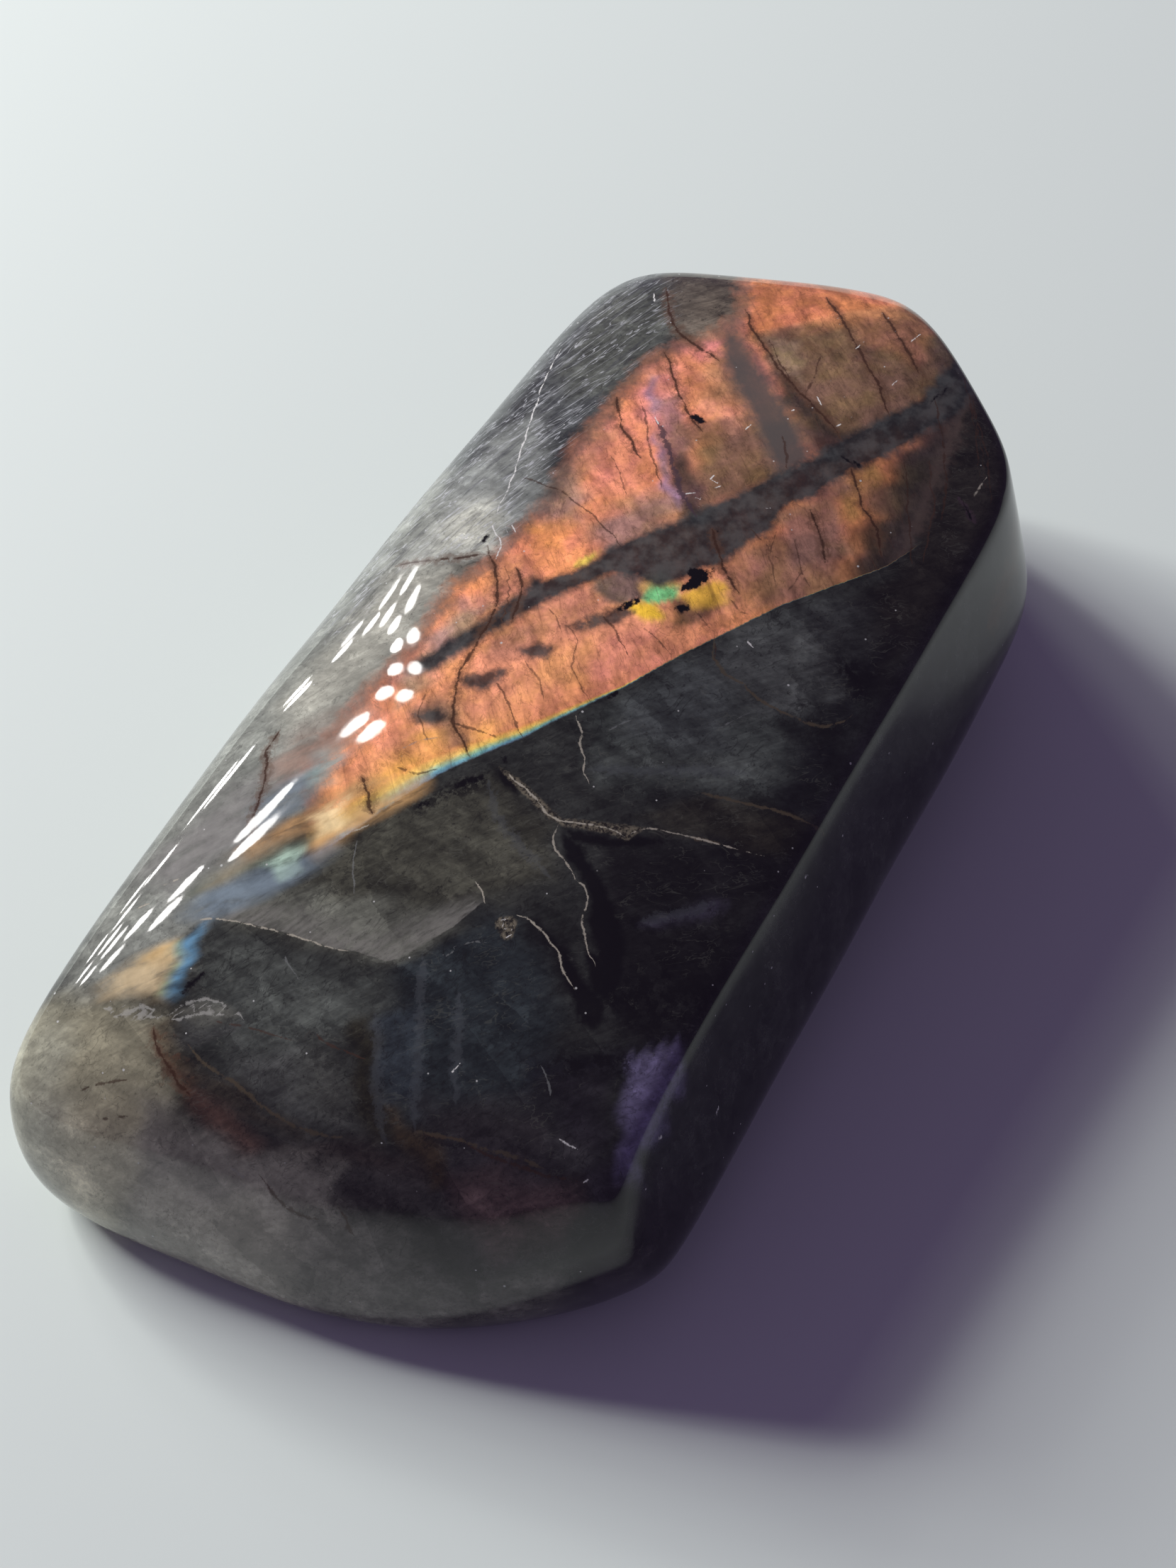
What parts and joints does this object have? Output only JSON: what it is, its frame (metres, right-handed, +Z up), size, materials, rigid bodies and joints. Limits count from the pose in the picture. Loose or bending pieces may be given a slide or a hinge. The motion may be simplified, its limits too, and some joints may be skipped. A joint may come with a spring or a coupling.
{
  "type": "polished labradorite freeform",
  "caption": "Polished freeform stone, long and slightly tapered, with a gently crowned top, rounded ground facets and a flat base to rest on.",
  "frame": {"origin": "middle of the bounding box in plan, at the level of the flat base", "axes": "+X along the stone toward its narrow end, +Y toward the left flank seen from the broad end, +Z up from the base"},
  "size_m": [0.0962, 0.0474, 0.0266],
  "materials": {
    "polished_labradorite": "polished"
  },
  "bodies": {
    "root": {"labradorite": "polished_labradorite"}
  },
  "joints": []
}
